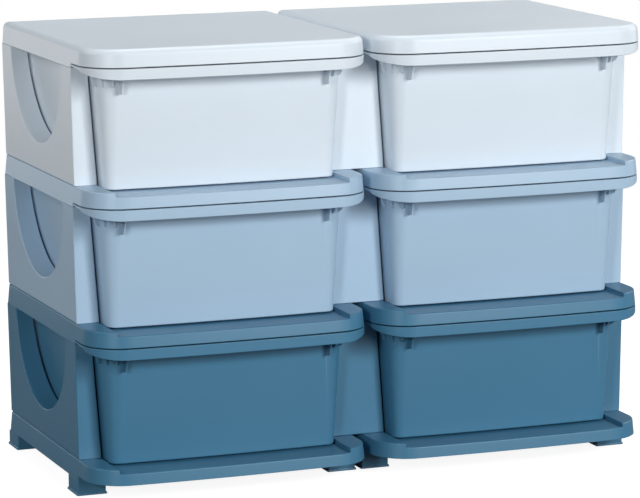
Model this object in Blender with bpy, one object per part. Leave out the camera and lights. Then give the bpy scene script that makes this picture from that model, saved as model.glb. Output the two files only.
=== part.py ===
"""Chest of six drawers in two columns and three tiers, built from separate plastic mouldings.

Metres, +Z up. The front faces -Y, and the origin is the middle of the floor area under the chest.
"""

import math

import bmesh
import bpy

# Boards: every lid, shelf and base has the same plan
BOARD_WIDTH = 0.365
BOARD_HEIGHT = 0.0251
BOARD_DRAFT = 0.0025
COLUMN_GAP = 0.009
LIP_REACH = 0.073
LIP_BOW = 0.006
LIP_RAISE = 0.0056
FRONT_CORNER = 0.046
REAR_CORNER = 0.004
RECESS_DEPTH = 0.005
REAR_STOP = 0.012
DECK = 0.0025

# Lid
LID_HEIGHT = 0.0275
LID_EDGE = 0.008
LID_DRAFT = 0.0015

# Side and centre panels
PANEL_DEPTH = 0.300
PANEL_HEIGHT = 0.1441
STILE_TOP = 0.0217
STILE_BOTTOM = 0.0295
HAND_HOLE_RADIUS = 0.109

# Feet
FOOT_HEIGHT = 0.0193
FOOT_WIDTH = 0.036
FOOT_DEPTH = 0.041
FOOT_PROUD = 0.0032
FOOT_FLANGE = 0.0013
FOOT_FLANGE_HEIGHT = 0.002

# Drawers
DRAWER_FRONT = 0.028
DRAWER_LEAN = 0.010
DRAWER_BOW = 0.0036
DRAWER_CORNER_BOTTOM = 0.012
DRAWER_CORNER_TOP = 0.025
DRAWER_BASE_ROUND = 0.002
RUNNER_HEIGHT = 0.0015
RUNNER_WIDTH = 0.012
RUNNER_X = 0.110
RUNNER_INSET = 0.040
GRIP_HEIGHT = 0.0134
GRIP_END_HEIGHT = 0.003
RIB_THICKNESS = 0.0018
RIB_TAPER = 0.6
RIB_RISE = 0.0025
LONG_RIB_DROP = 0.022
LONG_RIB_DEPTH = 0.018
LONG_RIB_INSET = 0.001
SHORT_RIB_DROP = 0.013
SHORT_RIB_DEPTH = 0.009
SHORT_RIB_ANGLES = (18.0, 46.0, 75.0)

# Walls and clearances
WALL = 0.002
SEAM = 0.0003
DRAWER_SIDE_GAP = 0.003
DRAWER_REAR_GAP = 0.002
GRIP_TOP_GAP = 0.0016
GRIP_SEAT_GAP = 0.0005

# How finely round shapes are cut, and how far cutters run past what they cut
FRONT_CORNER_STEPS = 6
REAR_CORNER_STEPS = 3
FRONT_STEPS = 6
LID_EDGE_STEPS = 3
HAND_HOLE_STEPS = 24
GRIP_END_STEPS = 6
LEAST_RADIUS = 0.0003
OVERSHOOT = 0.010

# Plastics of the three tiers, top to bottom: sRGB colour, and one roughness for all
TIER_NAMES = ("top", "middle", "bottom")
TIER_COLOURS = {
    "top": (0.847, 0.890, 0.914),
    "middle": (0.627, 0.733, 0.816),
    "bottom": (0.294, 0.471, 0.588),
}
PLASTIC_ROUGHNESS = 0.42

# Places worked out from the sizes above
HALF_BOARD = BOARD_WIDTH / 2
COLUMN_X = (BOARD_WIDTH + COLUMN_GAP) / 2
TIER_PITCH = PANEL_HEIGHT + BOARD_HEIGHT
BASE_TOP = FOOT_HEIGHT + BOARD_HEIGHT
LID_BOTTOM = BASE_TOP + 2 * TIER_PITCH + PANEL_HEIGHT
DECK_TOP = BOARD_HEIGHT - RECESS_DEPTH
DECK_UNDERSIDE = DECK_TOP - DECK
FRONT_REACH = LIP_REACH + LIP_BOW
GRIP_REACH = FRONT_REACH - SEAM
REAR_REACH = PANEL_DEPTH + FOOT_PROUD + FOOT_FLANGE
STILE_Y = (GRIP_REACH - REAR_REACH) / 2
OPENING_TOP = HALF_BOARD - STILE_TOP
OPENING_BOTTOM = HALF_BOARD - BOARD_DRAFT - STILE_BOTTOM
GRIP_TOP = PANEL_HEIGHT + LIP_RAISE - GRIP_TOP_GAP
GRIP_BOTTOM = GRIP_TOP - GRIP_HEIGHT
GRIP_PLATE = GRIP_TOP - WALL
RUNNER_BOTTOM = SEAM - RECESS_DEPTH
DRAWER_FLOOR = RUNNER_BOTTOM + RUNNER_HEIGHT
COLUMNS = {"left": -1, "right": 1}


def between(low, high, share):
    """Value the given share of the way from low to high."""
    return low + (high - low) * share


def arc(centre, radius, start, end, steps):
    """Points of an arc between two angles in degrees, both ends included."""
    angles = [math.radians(between(start, end, i / steps)) for i in range(steps + 1)]
    return [(centre[0] + radius * math.cos(a), centre[1] + radius * math.sin(a)) for a in angles]


def rounded_plan(half_width, front, rear, front_radius, rear_radius, bow):
    """Counter-clockwise plan with four round corners, whose front swells forward by bow."""
    flat = half_width - front_radius
    left_centre = (-flat, front + front_radius)
    right_centre = (flat, front + front_radius)
    steps = [-1 + 2 * i / FRONT_STEPS for i in range(1, FRONT_STEPS)]
    front_points = arc(left_centre, front_radius, 180, 270, FRONT_CORNER_STEPS)
    front_points += [(flat * share, front) for share in steps]
    front_points += arc(right_centre, front_radius, 270, 360, FRONT_CORNER_STEPS)
    bowed = [(x, y - bow * (1 - (x / half_width) ** 2)) for x, y in front_points]
    inner = half_width - rear_radius
    right_rear = arc((inner, rear - rear_radius), rear_radius, 0, 90, REAR_CORNER_STEPS)
    left_rear = arc((-inner, rear - rear_radius), rear_radius, 90, 180, REAR_CORNER_STEPS)
    return bowed + right_rear + left_rear


def board_plan(inset):
    """Plan of a board drawn in by inset all round; the stiles' front plane is y = 0."""
    return rounded_plan(
        HALF_BOARD - inset,
        inset - LIP_REACH,
        PANEL_DEPTH - inset,
        max(FRONT_CORNER - inset, LEAST_RADIUS),
        max(REAR_CORNER - inset, LEAST_RADIUS),
        LIP_BOW,
    )


def drawer_half_width(height):
    """Half the drawer body's width at a height above the shelf's side rims."""
    return between(OPENING_BOTTOM, OPENING_TOP, height / PANEL_HEIGHT) - DRAWER_SIDE_GAP


def drawer_front(height):
    """Front of the drawer body's corners at a height, which leans forward as it rises."""
    return -DRAWER_FRONT - DRAWER_LEAN * height / PANEL_HEIGHT


def drawer_corner(height):
    """Radius of the drawer body's upright corners at a height."""
    return between(DRAWER_CORNER_BOTTOM, DRAWER_CORNER_TOP, height / PANEL_HEIGHT)


def drawer_plan(height, inset):
    """Plan of the drawer body at a height, drawn in by inset."""
    rear = PANEL_DEPTH - REAR_STOP - DRAWER_REAR_GAP
    rear -= DRAWER_LEAN * (1 - height / PANEL_HEIGHT)
    radius = max(drawer_corner(height) - inset, LEAST_RADIUS)
    half_width = drawer_half_width(height) - inset
    return rounded_plan(half_width, drawer_front(height) + inset, rear - inset, radius, radius, DRAWER_BOW)


def rectangle(x_low, x_high, y_low, y_high):
    """Counter-clockwise rectangle."""
    return [(x_low, y_low), (x_high, y_low), (x_high, y_high), (x_low, y_high)]


def at_height(plan, z):
    """Plan lifted to a height."""
    return [(x, y, z) for x, y in plan]


def at_side(profile, x):
    """Side profile of (y, z) points placed at an x."""
    return [(x, y, z) for y, z in profile]


def stacked(name, rings):
    """Closed body skinned over matching rings, from the lowest to the highest along their axis."""
    mesh = bpy.data.meshes.new(name)
    body = bmesh.new()
    loops = [[body.verts.new(point) for point in ring] for ring in rings]
    body.faces.new(reversed(loops[0]))
    body.faces.new(loops[-1])
    count = len(rings[0])
    for lower, upper in zip(loops, loops[1:]):
        for i in range(count):
            j = (i + 1) % count
            body.faces.new((lower[i], lower[j], upper[j], upper[i]))
    body.to_mesh(mesh)
    body.free()
    return bpy.data.objects.new(name, mesh)


def block(name, low, high):
    """Box between two opposite corners."""
    mesh = bpy.data.meshes.new(name)
    body = bmesh.new()
    bmesh.ops.create_cube(body, size=1.0)
    for vert in body.verts:
        vert.co = [between(a, b, share + 0.5) for a, b, share in zip(low, high, vert.co)]
    body.to_mesh(mesh)
    body.free()
    return bpy.data.objects.new(name, mesh)


def prism(name, profile, x_low, x_high):
    """Side profile of (y, z) points, counter-clockwise seen from +X, run along X."""
    return stacked(name, [at_side(profile, x_low), at_side(profile, x_high)])


def combine(target, operation, tools, cutters):
    """Cut the tools out of the target, or join them to it, and keep them in the cutters' collection."""
    bpy.context.scene.collection.objects.link(target)
    for tool in tools:
        cutters.objects.link(tool)
        tool.hide_render = True
        tool.display_type = "WIRE"
        modifier = target.modifiers.new(tool.name, "BOOLEAN")
        modifier.operation = operation
        modifier.object = tool
        modifier.solver = "EXACT"
    graph = bpy.context.evaluated_depsgraph_get()
    shaped = bpy.data.meshes.new_from_object(target.evaluated_get(graph))
    bpy.context.scene.collection.objects.unlink(target)
    target.modifiers.clear()
    target.data = shaped
    return target


def front_notch(name):
    """Cutter that lifts a board's lower edge in front of the stiles."""
    half = HALF_BOARD + OVERSHOOT
    return block(name, (-half, -FRONT_REACH - OVERSHOOT, -OVERSHOOT), (half, 0, LIP_RAISE))


def lid_rings(offset, low):
    """Rings of the lid's skin, set in from its outside by offset, from a height low upwards."""
    radius = LID_EDGE - offset
    shoulder = LID_HEIGHT - LID_EDGE
    slope = LID_DRAFT / shoulder
    rings = [at_height(board_plan(offset + slope * low), low)]
    for i in range(LID_EDGE_STEPS + 1):
        angle = math.radians(90 * i / LID_EDGE_STEPS)
        inset = offset + LID_DRAFT + radius * (1 - math.cos(angle))
        rings.append(at_height(board_plan(inset), shoulder + radius * math.sin(angle)))
    return rings


def lid_mesh(cutters):
    """Lid: a flat top with a round edge over a skirt, open underneath."""
    body = stacked("lid", lid_rings(0, 0))
    hollow = stacked("lid_hollow", lid_rings(WALL, -OVERSHOOT))
    return combine(body, "DIFFERENCE", [hollow, front_notch("lid_notch")], cutters).data


def board_mesh(cutters):
    """Shelf or base: a deck between raised side rims, with a skirt below and a lip in front."""
    slope = BOARD_DRAFT / BOARD_HEIGHT
    body = stacked(
        "board",
        [at_height(board_plan(0), 0), at_height(board_plan(BOARD_DRAFT), BOARD_HEIGHT)],
    )
    hollow = stacked(
        "board_hollow",
        [at_height(board_plan(WALL + slope * z), z) for z in (-OVERSHOOT, DECK_UNDERSIDE)],
    )
    recess = block(
        "board_recess",
        (-OPENING_BOTTOM, -FRONT_REACH - OVERSHOOT, DECK_TOP),
        (OPENING_BOTTOM, PANEL_DEPTH - REAR_STOP, BOARD_HEIGHT + OVERSHOOT),
    )
    return combine(body, "DIFFERENCE", [hollow, recess, front_notch("board_notch")], cutters).data


def hand_hole(x_low, x_high):
    """Half-round cutter, open at the panel's top edge and centred in its depth."""
    top = PANEL_HEIGHT + OVERSHOOT
    profile = [(-HAND_HOLE_RADIUS, top)]
    profile += arc((0, PANEL_HEIGHT - SEAM), HAND_HOLE_RADIUS, 180, 360, HAND_HOLE_STEPS)
    profile += [(HAND_HOLE_RADIUS, top)]
    return prism("hand_hole", profile, x_low, x_high)


def panel_block(name, bottom, top, inset, heights):
    """Drafted block set in by inset, from the panel faces' x at the bottom and at the top."""
    half_depth = PANEL_DEPTH / 2 - inset
    rings = []
    for z in heights:
        low, high = [between(a, b, z / PANEL_HEIGHT) for a, b in zip(bottom, top)]
        rings.append(at_height(rectangle(low + inset, high - inset, -half_depth, half_depth), z))
    return stacked(name, rings)


def side_panel_mesh(cutters):
    """Left side panel about its column's centre and mid depth; turned round, it is the right one."""
    bottom = (BOARD_DRAFT - HALF_BOARD, -OPENING_BOTTOM)
    top = (-HALF_BOARD, -OPENING_TOP)
    body = panel_block("side_panel", bottom, top, 0, (SEAM, PANEL_HEIGHT - SEAM))
    hole = hand_hole(-HALF_BOARD - OVERSHOOT, OVERSHOOT - OPENING_BOTTOM)
    return combine(body, "DIFFERENCE", [hole], cutters).data


def centre_panel_mesh(cutters):
    """Centre panel that fills the space between the two columns' drawers, hollowed from below."""
    half_bottom = COLUMN_X - OPENING_BOTTOM
    half_top = COLUMN_X - OPENING_TOP
    faces = ((-half_bottom, half_bottom), (-half_top, half_top))
    body = panel_block("centre_panel", *faces, 0, (SEAM, PANEL_HEIGHT - SEAM))
    pocket_heights = (-OVERSHOOT, PANEL_HEIGHT - SEAM - WALL)
    pocket = panel_block("centre_panel_pocket", *faces, WALL, pocket_heights)
    return combine(body, "DIFFERENCE", [pocket], cutters).data


def foot_mesh():
    """Foot: a flange on the floor, a square post and a tenon that reaches up to the base's deck."""
    half_x = FOOT_WIDTH / 2
    half_y = FOOT_DEPTH / 2
    corner = REAR_CORNER * (1 - math.sqrt(0.5))
    tenon = WALL + BOARD_DRAFT + SEAM + corner
    levels = [
        (FOOT_FLANGE, FOOT_FLANGE, 0),
        (FOOT_FLANGE, FOOT_FLANGE, FOOT_FLANGE_HEIGHT),
        (0, 0, FOOT_FLANGE_HEIGHT + FOOT_FLANGE),
        (0, 0, FOOT_HEIGHT - SEAM),
        (-tenon, -tenon - FOOT_PROUD, FOOT_HEIGHT - SEAM),
        (-tenon, -tenon - FOOT_PROUD, FOOT_HEIGHT + DECK_UNDERSIDE - SEAM),
    ]
    rings = []
    for grow_x, grow_y, z in levels:
        reach_x = half_x + grow_x
        reach_y = half_y + grow_y
        rings.append(at_height(rectangle(-reach_x, reach_x, -reach_y, reach_y), z))
    return stacked("foot", rings).data


def gusset(name, side, angle, depth, drop, inset=0):
    """Thin tapered rib under the grip, standing out from the drawer's front corner at an angle."""
    turn = math.radians(angle)
    outward = (side * math.sin(turn), -math.cos(turn))
    across = (-outward[1], outward[0])
    root = WALL / 2
    top = GRIP_PLATE + root
    low = GRIP_BOTTOM - drop
    corners = [(low, -root), (low, 0), (low + RIB_RISE, depth * RIB_TAPER)]
    corners += [(GRIP_PLATE, depth), (top, depth), (top, -root)]
    rings = []
    for offset in (-RIB_THICKNESS / 2, RIB_THICKNESS / 2):
        ring = []
        for height, reach in corners:
            radius = drawer_corner(height)
            x = side * (drawer_half_width(height) - radius - inset)
            y = drawer_front(height) + radius
            out = radius + reach
            bow = DRAWER_BOW * (1 - (x / drawer_half_width(height)) ** 2) * math.cos(turn)
            ring.append((
                x + outward[0] * out + across[0] * offset,
                y + outward[1] * out + across[1] * offset - bow,
                height,
            ))
        rings.append(ring)
    return stacked(name, rings)


def runner(name, side):
    """Low strip under the drawer's floor, on which it slides along the deck."""
    rear = PANEL_DEPTH - REAR_STOP - DRAWER_REAR_GAP - DRAWER_LEAN
    low_x = side * RUNNER_X - RUNNER_WIDTH / 2
    return block(
        name,
        (low_x, RUNNER_INSET - DRAWER_FRONT, RUNNER_BOTTOM),
        (low_x + RUNNER_WIDTH, rear - RUNNER_INSET, DRAWER_FLOOR + WALL / 2),
    )


def grip_body(cutters):
    """Grip lip on the drawer's top front edge: a plate whose skirt runs out round the corners."""
    body = stacked("grip", [at_height(board_plan(SEAM), z) for z in (GRIP_BOTTOM, GRIP_TOP)])
    half = HALF_BOARD + OVERSHOOT
    under = GRIP_BOTTOM - OVERSHOOT
    hollow = stacked("grip_hollow", [at_height(board_plan(SEAM + WALL), z) for z in (under, GRIP_PLATE)])
    behind = block(
        "grip_behind",
        (-half, -GRIP_SEAT_GAP, under),
        (half, PANEL_DEPTH + OVERSHOOT, GRIP_TOP + OVERSHOOT),
    )
    rise = GRIP_HEIGHT - GRIP_END_HEIGHT
    profile = [(-LIP_REACH, under), (OVERSHOOT, under), (OVERSHOOT, GRIP_BOTTOM + rise)]
    for i in range(GRIP_END_STEPS, -1, -1):
        share = i / GRIP_END_STEPS
        back = FRONT_CORNER * (1 - math.cos(share * math.pi / 2))
        profile.append((back - LIP_REACH, GRIP_BOTTOM + rise * share ** 2))
    ends = prism("grip_ends", profile, -half, half)
    return combine(body, "DIFFERENCE", [hollow, behind, ends], cutters)


def drawer_mesh(cutters):
    """Drawer: a drafted tray with its grip lip, gusset ribs, runners and inside."""
    levels = []
    for turn in (0, 45, 90):
        angle = math.radians(turn)
        levels.append((
            DRAWER_FLOOR + DRAWER_BASE_ROUND * (1 - math.cos(angle)),
            DRAWER_BASE_ROUND * (1 - math.sin(angle)),
        ))
    levels.append((GRIP_TOP, 0))
    body = stacked("drawer", [at_height(drawer_plan(z, inset), z) for z, inset in levels])
    joined = [grip_body(cutters)]
    for name, side in COLUMNS.items():
        joined.append(runner(f"runner_{name}", side))
        joined.append(gusset(f"long_rib_{name}", side, 0, LONG_RIB_DEPTH, LONG_RIB_DROP, LONG_RIB_INSET))
        for i, angle in enumerate(SHORT_RIB_ANGLES):
            rib = gusset(f"short_rib_{name}_{i}", side, angle, SHORT_RIB_DEPTH, SHORT_RIB_DROP)
            joined.append(rib)
    body = combine(body, "UNION", joined, cutters)
    inside_heights = (DRAWER_FLOOR + WALL, GRIP_TOP + OVERSHOOT)
    inside = stacked("drawer_inside", [at_height(drawer_plan(z, WALL), z) for z in inside_heights])
    return combine(body, "DIFFERENCE", [inside], cutters).data


def linear(channel):
    """Linear value of an sRGB channel."""
    if channel <= 0.04045:
        return channel / 12.92
    return ((channel + 0.055) / 1.055) ** 2.4


def plastic(name, colour):
    """Satin moulded plastic of one colour."""
    material = bpy.data.materials.new(name)
    material.use_nodes = True
    shader = material.node_tree.nodes["Principled BSDF"]
    shader.inputs["Base Color"].default_value = [linear(c) for c in colour] + [1.0]
    shader.inputs["Roughness"].default_value = PLASTIC_ROUGHNESS
    shader.inputs["Metallic"].default_value = 0.0
    return material


def finish(mesh):
    """Smooth shading on the round stretches of a mesh."""
    mesh.shade_smooth()
    mesh.set_sharp_from_angle(angle=math.radians(30))
    return mesh


def place(name, mesh, material, parts, location, turn=0.0):
    """Named piece that wears a material, at a place and turned about the upright axis."""
    piece = bpy.data.objects.new(name, mesh)
    piece.location = location
    piece.rotation_euler = (0, 0, turn)
    parts.objects.link(piece)
    piece.material_slots[0].link = "OBJECT"
    piece.material_slots[0].material = material
    return piece


def collection(name):
    """New collection in the scene."""
    made = bpy.data.collections.new(name)
    bpy.context.scene.collection.children.link(made)
    return made


def clear_scene():
    """Remove whatever the scene holds."""
    for thing in list(bpy.data.objects):
        bpy.data.objects.remove(thing, do_unlink=True)


def build_feet(mesh, material, parts):
    """Four feet under each base, flush with its sides."""
    reach_x = HALF_BOARD - FOOT_WIDTH / 2
    front = STILE_Y - FOOT_PROUD + FOOT_DEPTH / 2
    rear = STILE_Y + PANEL_DEPTH + FOOT_PROUD - FOOT_DEPTH / 2
    for column, side in COLUMNS.items():
        for row, y in (("front", front), ("rear", rear)):
            for edge, way in (("outer", side), ("inner", -side)):
                name = f"foot_{column}_{row}_{edge}"
                place(name, mesh, material, parts, (side * COLUMN_X + way * reach_x, y, 0))


def build_chest():
    """Model every piece and put it in its place."""
    clear_scene()
    parts = collection("drawer_chest")
    cutters = collection("cutters")
    plastics = {tier: plastic(f"{tier}_tier_plastic", TIER_COLOURS[tier]) for tier in TIER_NAMES}
    lid = finish(lid_mesh(cutters))
    board = finish(board_mesh(cutters))
    side_panel = finish(side_panel_mesh(cutters))
    centre_panel = finish(centre_panel_mesh(cutters))
    drawer = finish(drawer_mesh(cutters))
    for mesh in (lid, board, side_panel, centre_panel, drawer):
        if not mesh.materials:
            mesh.materials.append(None)
    foot = foot_mesh()
    foot.materials.append(None)
    mid_y = STILE_Y + PANEL_DEPTH / 2
    build_feet(foot, plastics["bottom"], parts)
    for column, side in COLUMNS.items():
        x = side * COLUMN_X
        place(f"base_{column}", board, plastics["bottom"], parts, (x, STILE_Y, FOOT_HEIGHT))
        place(f"lid_{column}", lid, plastics["top"], parts, (x, STILE_Y, LID_BOTTOM))
    for level, tier in enumerate(reversed(TIER_NAMES)):
        floor = BASE_TOP + level * TIER_PITCH
        place(f"centre_panel_{tier}", centre_panel, plastics[tier], parts, (0, mid_y, floor))
        for column, side in COLUMNS.items():
            x = side * COLUMN_X
            turn = math.pi if side > 0 else 0.0
            place(f"side_panel_{column}_{tier}", side_panel, plastics[tier], parts, (x, mid_y, floor), turn)
            place(f"drawer_{column}_{tier}", drawer, plastics[tier], parts, (x, STILE_Y, floor))
    for level, (height, tier) in enumerate((("lower", "bottom"), ("upper", "middle"))):
        z = BASE_TOP + level * TIER_PITCH + PANEL_HEIGHT
        for column, side in COLUMNS.items():
            place(f"shelf_{height}_{column}", board, plastics[tier], parts, (side * COLUMN_X, STILE_Y, z))


build_chest()
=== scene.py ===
"""Looks of a two-column chest of drawers: smooth mouldings, satin plastics, studio and camera."""

import logging
import math
from dataclasses import dataclass, field, replace
from enum import Enum
from typing import Any, Iterable, Sequence

import bmesh
import bpy
from mathutils import Matrix, Vector


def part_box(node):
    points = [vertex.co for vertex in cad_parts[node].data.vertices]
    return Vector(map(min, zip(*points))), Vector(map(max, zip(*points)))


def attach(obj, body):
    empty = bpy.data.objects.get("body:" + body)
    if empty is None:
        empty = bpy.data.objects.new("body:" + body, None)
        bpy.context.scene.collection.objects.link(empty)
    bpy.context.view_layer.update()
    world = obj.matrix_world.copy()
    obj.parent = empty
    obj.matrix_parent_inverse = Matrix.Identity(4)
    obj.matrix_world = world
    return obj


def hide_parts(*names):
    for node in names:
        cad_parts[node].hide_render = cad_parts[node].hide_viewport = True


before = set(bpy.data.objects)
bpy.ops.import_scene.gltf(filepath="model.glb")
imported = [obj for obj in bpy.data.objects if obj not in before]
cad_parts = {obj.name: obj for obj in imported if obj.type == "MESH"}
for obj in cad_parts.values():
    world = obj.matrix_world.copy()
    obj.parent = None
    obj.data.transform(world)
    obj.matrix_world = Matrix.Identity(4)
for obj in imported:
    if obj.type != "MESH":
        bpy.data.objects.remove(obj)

LOG = logging.getLogger("drawer_chest")
CABINET = "cabinet"
WELD = 2e-6
CREASE = math.radians(38)

Point2 = tuple[float, float]
Point3 = tuple[float, float, float]


class Tier(Enum):
    """Tiers of the chest, counted from the floor."""

    BOTTOM = 0
    MIDDLE = 1
    TOP = 2

    @property
    def word(self) -> str:
        """Word for the tier in the names of pieces."""
        return self.name.lower()


class Column(Enum):
    """Columns of the chest, with the sign of their x."""

    LEFT = -1
    RIGHT = 1

    @property
    def word(self) -> str:
        """Word for the column in the names of pieces."""
        return self.name.lower()


def mix(low: float, high: float, share: float) -> float:
    """Value the given share of the way from low to high."""
    return low + (high - low) * share


def spread(low: float, high: float, steps: int) -> list[float]:
    """Evenly spaced values from low to high, both ends included."""
    return [mix(low, high, i / steps) for i in range(steps + 1)]


def eased(share: float) -> float:
    """Share from 0 to 1 that starts and ends gently."""
    held = min(max(share, 0.0), 1.0)
    return held * held * (3 - 2 * held)


def quarter(radius: float, steps: int) -> list[Point2]:
    """Quarter round in straight steps, as (set-back, climb) pairs: (radius, 0) to (0, radius)."""
    angles = [math.radians(a) for a in spread(0, 90, steps)]
    return [(radius * (1 - math.sin(a)), radius * (1 - math.cos(a))) for a in angles]


def rounded_rectangle(half_x: float, half_y: float, radius: float, steps: int) -> list[Point2]:
    """Rectangle about the origin with four round corners.

    Args:
        half_x: half of its width.
        half_y: half of its depth.
        radius: radius of its corners.
        steps: number of straight steps round each corner.

    Returns:
        Points, counter-clockwise from the left end of the front left corner.
    """
    points = []
    for start, side, end in ((180, -1, -1), (270, 1, -1), (0, 1, 1), (90, -1, 1)):
        for angle in spread(start, start + 90, steps):
            turn = math.radians(angle)
            x = side * (half_x - radius) + radius * math.cos(turn)
            points.append((x, end * (half_y - radius) + radius * math.sin(turn)))
    return points


class Moulding:
    """Mesh of one moulding while it is skinned over rows of points."""

    def __init__(self) -> None:
        """Start with an empty mesh."""
        self.mesh = bmesh.new()

    def row(self, points: Iterable[Point3]) -> list[bmesh.types.BMVert]:
        """Add a row of points and give its new vertices, in order."""
        return [self.mesh.verts.new(point) for point in points]

    def face(self, corners: Sequence[bmesh.types.BMVert]) -> None:
        """Add one face, unless its corners fall together.

        Args:
            corners: vertices round the face.
        """
        different = list(dict.fromkeys(corners))
        if len(different) > 2:
            self.mesh.faces.new(different)

    def skin(self, rows: Sequence[Sequence[bmesh.types.BMVert]], closed: bool = True) -> None:
        """Join each row to the next with faces.

        Args:
            rows: rows with the same number of vertices.
            closed: whether each row is a loop.
        """
        for lower, upper in zip(rows, rows[1:]):
            count = len(lower)
            for i in range(count if closed else count - 1):
                j = (i + 1) % count
                self.face((lower[i], lower[j], upper[j], upper[i]))

    def stack(self, rings: Sequence[Sequence[Point3]]) -> "Moulding":
        """Skin a stack of rings and close both its ends.

        Args:
            rings: rings of points with the same number of points.

        Returns:
            The moulding itself.
        """
        rows = [self.row(ring) for ring in rings]
        self.skin(rows)
        self.face(list(reversed(rows[0])))
        self.face(rows[-1])
        return self

    def finished(self, name: str) -> bpy.types.Mesh:
        """Weld the mesh, turn its faces outward and shade its rounds smooth.

        Args:
            name: name of the mesh.

        Returns:
            The finished mesh.
        """
        bmesh.ops.remove_doubles(self.mesh, verts=self.mesh.verts, dist=WELD)
        bmesh.ops.dissolve_degenerate(self.mesh, edges=self.mesh.edges, dist=WELD)
        bmesh.ops.recalc_face_normals(self.mesh, faces=self.mesh.faces)
        mesh = bpy.data.meshes.new(name)
        self.mesh.to_mesh(mesh)
        self.mesh.free()
        return shaded(mesh)


def shaded(mesh: bpy.types.Mesh) -> bpy.types.Mesh:
    """Shade a mesh smooth up to its real edges.

    Args:
        mesh: mesh to shade.

    Returns:
        The same mesh.
    """
    mesh.shade_smooth()
    mesh.set_sharp_from_angle(angle=CREASE)
    return mesh


@dataclass(frozen=True)
class ChestLayout:
    """Sizes that the pieces of the chest share, in metres."""

    board_width: float = 0.365
    board_height: float = 0.0251
    board_draft: float = 0.0025
    column_gap: float = 0.009
    lip_reach: float = 0.073
    lip_bow: float = 0.006
    lip_raise: float = 0.0056
    front_corner: float = 0.046
    rear_corner: float = 0.004
    recess_depth: float = 0.005
    rear_stop: float = 0.012
    panel_depth: float = 0.300
    panel_height: float = 0.1441
    stile_top: float = 0.0217
    stile_bottom: float = 0.0295
    foot_height: float = 0.0193
    wall: float = 0.002
    deck: float = 0.0025
    seam: float = 0.0003

    @property
    def half_board(self) -> float:
        """Half of a board's width."""
        return self.board_width / 2

    @property
    def column_x(self) -> float:
        """Distance of a column's middle from the chest's middle."""
        return (self.board_width + self.column_gap) / 2

    @property
    def stile_y(self) -> float:
        """Place of the panels' front plane, read from the centre panel's solid."""
        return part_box("centre_panel_top")[0].y

    @property
    def opening_top(self) -> float:
        """Half width between the panels at their top."""
        return self.half_board - self.stile_top

    @property
    def opening_bottom(self) -> float:
        """Half width between the panels at their bottom."""
        return self.half_board - self.board_draft - self.stile_bottom

    def opening(self, height: float) -> float:
        """Half width between the panels at a height above the boards' rims."""
        return mix(self.opening_bottom, self.opening_top, height / self.panel_height)

    def floor_of(self, tier: Tier) -> float:
        """Height of the rims that a tier's panels stand on."""
        pitch = self.panel_height + self.board_height
        return self.foot_height + self.board_height + tier.value * pitch


LAYOUT = ChestLayout()


@dataclass(frozen=True)
class RimPoint:
    """Point of a plan, with the direction in which an inset moves it back.

    On a small round corner the inset follows the corner's radius first, and then its mitre.
    """

    x: float
    y: float
    nx: float
    ny: float
    drop: float = 0.0
    radius: float = math.inf
    mitre: Point2 = (0.0, 0.0)

    def inset(self, distance: float) -> Point2:
        """Place of the point in a plan drawn in by a distance.

        Args:
            distance: how far the plan is drawn in.

        Returns:
            The point's x and y.
        """
        along = min(distance, self.radius)
        beyond = distance - along
        x = self.x - self.nx * along - self.mitre[0] * beyond
        return (x, self.y - self.ny * along - self.mitre[1] * beyond)

    def mirrored(self) -> "RimPoint":
        """The same point on the other side of the plan."""
        return replace(self, x=-self.x, nx=-self.nx, mitre=(-self.mitre[0], self.mitre[1]))


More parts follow.
